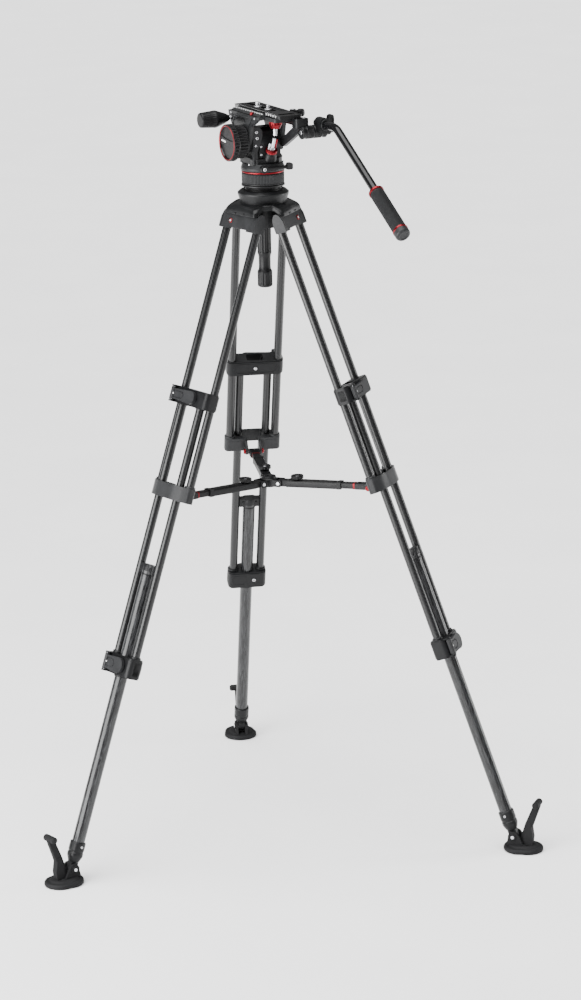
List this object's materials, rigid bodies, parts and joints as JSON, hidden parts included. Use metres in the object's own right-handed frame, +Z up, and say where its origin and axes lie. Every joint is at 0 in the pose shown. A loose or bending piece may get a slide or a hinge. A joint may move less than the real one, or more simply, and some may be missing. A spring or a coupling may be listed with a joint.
{
  "type": "video tripod with fluid head",
  "caption": "Twin-tube telescopic video tripod with mid-level spreader, bowl-mounted fluid head, sliding camera plate and angled pan bar.",
  "frame": {"origin": "centre of the bounding box, on the floor; the vertical pan axis passes through x = 0, y = -0.0716 m", "axes": "+Z up; the back leg points along +Y; the lens direction of the head is +Y turned 18 degrees towards -X"},
  "size_m": [1.0184, 1.0226, 1.508],
  "materials": {
    "carbon": "satin",
    "casting": "matte black",
    "red": "anodised red",
    "black_plastic": "matte",
    "rubber": "matte",
    "steel": "satin",
    "grip": "ribbed matte",
    "gloss_black": "gloss black"
  },
  "bodies": {
    "spider": {"spider": "casting"},
    "half_ball": {"half_ball": "casting"},
    "tie_down_knob": {"tie_down_knob": "black_plastic"},
    "pan_drag_ring": {"pan_drag_ring": "black_plastic"},
    "pan_body": {"pan_body": "casting", "pan_trim_ring": "red", "gas_spring": "red"},
    "pan_lock_lever": {"pan_lock_lever": "black_plastic"},
    "tilt_carriage": {"tilt_carriage": "casting", "spring_seat": "red", "rear_bracket": "casting"},
    "tilt_drag_dial": {"tilt_drag_dial": "black_plastic"},
    "tilt_lock_lever": {"tilt_lock_lever": "black_plastic"},
    "counterbalance_knob": {"counterbalance_knob": "black_plastic"},
    "camera_plate": {"camera_plate": "casting", "camera_screw": "steel"},
    "plate_lock_lever": {"plate_lock_lever": "black_plastic"},
    "safety_button": {"safety_button": "red"},
    "pan_bar": {"pan_bar_clamp": "casting", "pan_bar_tube": "gloss_black", "pan_bar_grip": "grip"},
    "wing_knob": {"wing_knob": "black_plastic"},
    "spreader_hub": {"spreader_hub": "casting"},
    "back_upper_stage": {"back_shoulder": "casting", "back_outer_tubes": "carbon", "back_middle_collar": "casting"},
    "back_middle_stage": {"back_upper_clamp": "casting", "back_inner_tubes": "carbon", "back_lower_clamp": "casting"},
    "back_lower_stage": {"back_lower_leg": "carbon"},
    "back_upper_lever": {"back_upper_lever": "black_plastic"},
    "back_lower_lever": {"back_lower_lever": "black_plastic"},
    "back_foot": {"back_rubber_foot": "rubber"},
    "back_spreader_arm": {"back_spreader_arm": "casting"},
    "back_spreader_knob": {"back_spreader_knob": "black_plastic"},
    "left_upper_stage": {"left_shoulder": "casting", "left_outer_tubes": "carbon", "left_middle_collar": "casting"},
    "left_middle_stage": {"left_upper_clamp": "casting", "left_inner_tubes": "carbon", "left_lower_clamp": "casting"},
    "left_lower_stage": {"left_lower_leg": "carbon"},
    "left_upper_lever": {"left_upper_lever": "black_plastic"},
    "left_lower_lever": {"left_lower_lever": "black_plastic"},
    "left_foot": {"left_rubber_foot": "rubber"},
    "left_spreader_arm": {"left_spreader_arm": "casting"},
    "left_spreader_knob": {"left_spreader_knob": "black_plastic"},
    "right_upper_stage": {"right_shoulder": "casting", "right_outer_tubes": "carbon", "right_middle_collar": "casting"},
    "right_middle_stage": {"right_upper_clamp": "casting", "right_inner_tubes": "carbon", "right_lower_clamp": "casting"},
    "right_lower_stage": {"right_lower_leg": "carbon"},
    "right_upper_lever": {"right_upper_lever": "black_plastic"},
    "right_lower_lever": {"right_lower_lever": "black_plastic"},
    "right_foot": {"right_rubber_foot": "rubber"},
    "right_spreader_arm": {"right_spreader_arm": "casting"},
    "right_spreader_knob": {"right_spreader_knob": "black_plastic"}
  },
  "joints": [
    {"name": "bowl_level", "type": "hinge", "parent": "spider", "child": "half_ball", "pos_m": [0, -0.0716, 1.335], "axis": [1, 0, 0], "range_deg": [0, 8]},
    {"name": "tie_down_turn", "type": "hinge", "parent": "half_ball", "child": "tie_down_knob", "pos_m": [0, -0.0716, 1.2], "axis": [0, 0, 1], "continuous": true},
    {"name": "pan_drag_turn", "type": "hinge", "parent": "half_ball", "child": "pan_drag_ring", "pos_m": [0, -0.0716, 1.36], "axis": [0, 0, 1], "range_deg": [-150, 150]},
    {"name": "pan", "type": "hinge", "parent": "half_ball", "child": "pan_body", "pos_m": [0, -0.0716, 1.38], "axis": [0, 0, 1], "continuous": true},
    {"name": "pan_lock", "type": "hinge", "parent": "pan_body", "child": "pan_lock_lever", "pos_m": [-0.00547, -0.12595, 1.384], "axis": [0.309, -0.9511, 0], "range_deg": [-20, 20]},
    {"name": "tilt", "type": "hinge", "parent": "pan_body", "child": "tilt_carriage", "pos_m": [0, -0.0716, 1.435], "axis": [-0.9511, -0.309, 0], "range_deg": [-38, 60]},
    {"name": "tilt_drag_turn", "type": "hinge", "parent": "tilt_carriage", "child": "tilt_drag_dial", "pos_m": [-0.05706, -0.09014, 1.435], "axis": [-0.9511, -0.309, 0], "range_deg": [-150, 150]},
    {"name": "tilt_lock", "type": "hinge", "parent": "tilt_carriage", "child": "tilt_lock_lever", "pos_m": [0.03994, -0.05862, 1.435], "axis": [-0.9511, -0.309, 0], "range_deg": [-30, 30]},
    {"name": "counterbalance_turn", "type": "hinge", "parent": "tilt_carriage", "child": "counterbalance_knob", "pos_m": [-0.10105, -0.05186, 1.476], "axis": [-0.9511, -0.309, 0], "range_deg": [-150, 150]},
    {"name": "plate_slide", "type": "slide", "parent": "tilt_carriage", "child": "camera_plate", "axis": [-0.309, 0.9511, 0], "range_m": [-0.04, 0.04]},
    {"name": "plate_lock", "type": "hinge", "parent": "tilt_carriage", "child": "plate_lock_lever", "pos_m": [0.05563, -0.11661, 1.487], "axis": [0, 0, 1], "range_deg": [0, 60]},
    {"name": "safety_button_press", "type": "slide", "parent": "tilt_carriage", "child": "safety_button", "axis": [0, 0, -1], "range_m": [0, 0.002], "stiffness_N_per_m": 400, "springref_m": -0.001},
    {"name": "pan_bar_turn", "type": "hinge", "parent": "tilt_carriage", "child": "pan_bar", "pos_m": [0.07945, -0.18668, 1.465], "axis": [0.9511, 0.309, 0], "range_deg": [-60, 40]},
    {"name": "wing_turn", "type": "hinge", "parent": "pan_bar", "child": "wing_knob", "pos_m": [0.11749, -0.17432, 1.465], "axis": [0.9511, 0.309, 0], "range_deg": [-150, 150]},
    {"name": "hub_rise", "type": "slide", "parent": "spider", "child": "spreader_hub", "axis": [0, 0, 1], "range_m": [0, 0.18]},
    {"name": "back_leg_fold", "type": "hinge", "parent": "spider", "child": "back_upper_stage", "pos_m": [0, -0.0196, 1.284], "axis": [1, 0, 0], "range_deg": [-20.28, 0]},
    {"name": "back_middle_slide", "type": "slide", "parent": "back_upper_stage", "child": "back_middle_stage", "axis": [0, 0.3466, -0.938], "range_m": [-0.285, 0.15]},
    {"name": "back_lower_slide", "type": "slide", "parent": "back_middle_stage", "child": "back_lower_stage", "axis": [0, 0.3466, -0.938], "range_m": [-0.32, 0.16]},
    {"name": "back_upper_clamp_flip", "type": "hinge", "parent": "back_middle_stage", "child": "back_upper_lever", "pos_m": [0.044, 0.13385, 0.94518], "axis": [0, 0.3466, -0.938], "range_deg": [0, 100]},
    {"name": "back_lower_clamp_flip", "type": "hinge", "parent": "back_middle_stage", "child": "back_lower_lever", "pos_m": [0.031, 0.32802, 0.42952], "axis": [0, 0.3466, -0.938], "range_deg": [0, 100]},
    {"name": "back_foot_tilt", "type": "hinge", "parent": "back_lower_stage", "child": "back_foot", "pos_m": [0, 0.45133, 0.028], "axis": [-1, 0, 0], "range_deg": [-20, 30]},
    {"name": "back_arm_swing", "type": "hinge", "parent": "spreader_hub", "child": "back_spreader_arm", "pos_m": [0, -0.0476, 0.733], "axis": [1, 0, 0], "range_deg": [-92.96, 0]},
    {"name": "back_arm_knob_turn", "type": "hinge", "parent": "back_spreader_arm", "child": "back_spreader_knob", "pos_m": [0, -0.01011, 0.7465], "axis": [0, -0.0397, 0.9992], "range_deg": [-150, 150]},
    {"name": "left_leg_fold", "type": "hinge", "parent": "spider", "child": "left_upper_stage", "pos_m": [-0.04503, -0.0976, 1.284], "axis": [-0.5, 0.866, 0], "range_deg": [-20.28, 0]},
    {"name": "left_middle_slide", "type": "slide", "parent": "left_upper_stage", "child": "left_middle_stage", "axis": [-0.3002, -0.1733, -0.938], "range_m": [-0.285, 0.15]},
    {"name": "left_lower_slide", "type": "slide", "parent": "left_middle_stage", "child": "left_lower_stage", "axis": [-0.3002, -0.1733, -0.938], "range_m": [-0.32, 0.16]},
    {"name": "left_upper_clamp_flip", "type": "hinge", "parent": "left_middle_stage", "child": "left_upper_lever", "pos_m": [-0.19992, -0.13622, 0.94518], "axis": [-0.3002, -0.1733, -0.938], "range_deg": [0, 100]},
    {"name": "left_lower_clamp_flip", "type": "hinge", "parent": "left_middle_stage", "child": "left_lower_lever", "pos_m": [-0.36158, -0.24456, 0.42952], "axis": [-0.3002, -0.1733, -0.938], "range_deg": [0, 100]},
    {"name": "left_foot_tilt", "type": "hinge", "parent": "left_lower_stage", "child": "left_foot", "pos_m": [-0.45287, -0.33307, 0.028], "axis": [0.5, -0.866, 0], "range_deg": [-20, 30]},
    {"name": "left_arm_swing", "type": "hinge", "parent": "spreader_hub", "child": "left_spreader_arm", "pos_m": [-0.02079, -0.0836, 0.733], "axis": [-0.5, 0.866, 0], "range_deg": [-92.96, 0]},
    {"name": "left_arm_knob_turn", "type": "hinge", "parent": "left_spreader_arm", "child": "left_spreader_knob", "pos_m": [-0.05325, -0.10235, 0.7465], "axis": [0.0344, 0.0198, 0.9992], "range_deg": [-150, 150]},
    {"name": "right_leg_fold", "type": "hinge", "parent": "spider", "child": "right_upper_stage", "pos_m": [0.04503, -0.0976, 1.284], "axis": [-0.5, -0.866, 0], "range_deg": [-20.28, 0]},
    {"name": "right_middle_slide", "type": "slide", "parent": "right_upper_stage", "child": "right_middle_stage", "axis": [0.3002, -0.1733, -0.938], "range_m": [-0.285, 0.15]},
    {"name": "right_lower_slide", "type": "slide", "parent": "right_middle_stage", "child": "right_lower_stage", "axis": [0.3002, -0.1733, -0.938], "range_m": [-0.32, 0.16]},
    {"name": "right_upper_clamp_flip", "type": "hinge", "parent": "right_middle_stage", "child": "right_upper_lever", "pos_m": [0.15592, -0.21243, 0.94518], "axis": [0.3002, -0.1733, -0.938], "range_deg": [0, 100]},
    {"name": "right_lower_clamp_flip", "type": "hinge", "parent": "right_middle_stage", "child": "right_lower_lever", "pos_m": [0.33058, -0.29826, 0.42952], "axis": [0.3002, -0.1733, -0.938], "range_deg": [0, 100]},
    {"name": "right_foot_tilt", "type": "hinge", "parent": "right_lower_stage", "child": "right_foot", "pos_m": [0.45287, -0.33307, 0.028], "axis": [0.5, 0.866, 0], "range_deg": [-20, 30]},
    {"name": "right_arm_swing", "type": "hinge", "parent": "spreader_hub", "child": "right_spreader_arm", "pos_m": [0.02079, -0.0836, 0.733], "axis": [-0.5, -0.866, 0], "range_deg": [-92.96, 0]},
    {"name": "right_arm_knob_turn", "type": "hinge", "parent": "right_spreader_arm", "child": "right_spreader_knob", "pos_m": [0.05325, -0.10235, 0.7465], "axis": [-0.0344, 0.0198, 0.9992], "range_deg": [-150, 150]}
  ],
  "couplings": [
    {"joint": "back_arm_swing", "follows": "back_leg_fold", "ratio": 4.5787},
    {"joint": "left_leg_fold", "follows": "back_leg_fold", "ratio": 1},
    {"joint": "left_arm_swing", "follows": "back_leg_fold", "ratio": 4.5787},
    {"joint": "right_leg_fold", "follows": "back_leg_fold", "ratio": 1},
    {"joint": "right_arm_swing", "follows": "back_leg_fold", "ratio": 4.5787},
    {"joint": "hub_rise", "follows": "back_leg_fold", "m_per_rad": -0.5082}
  ]
}
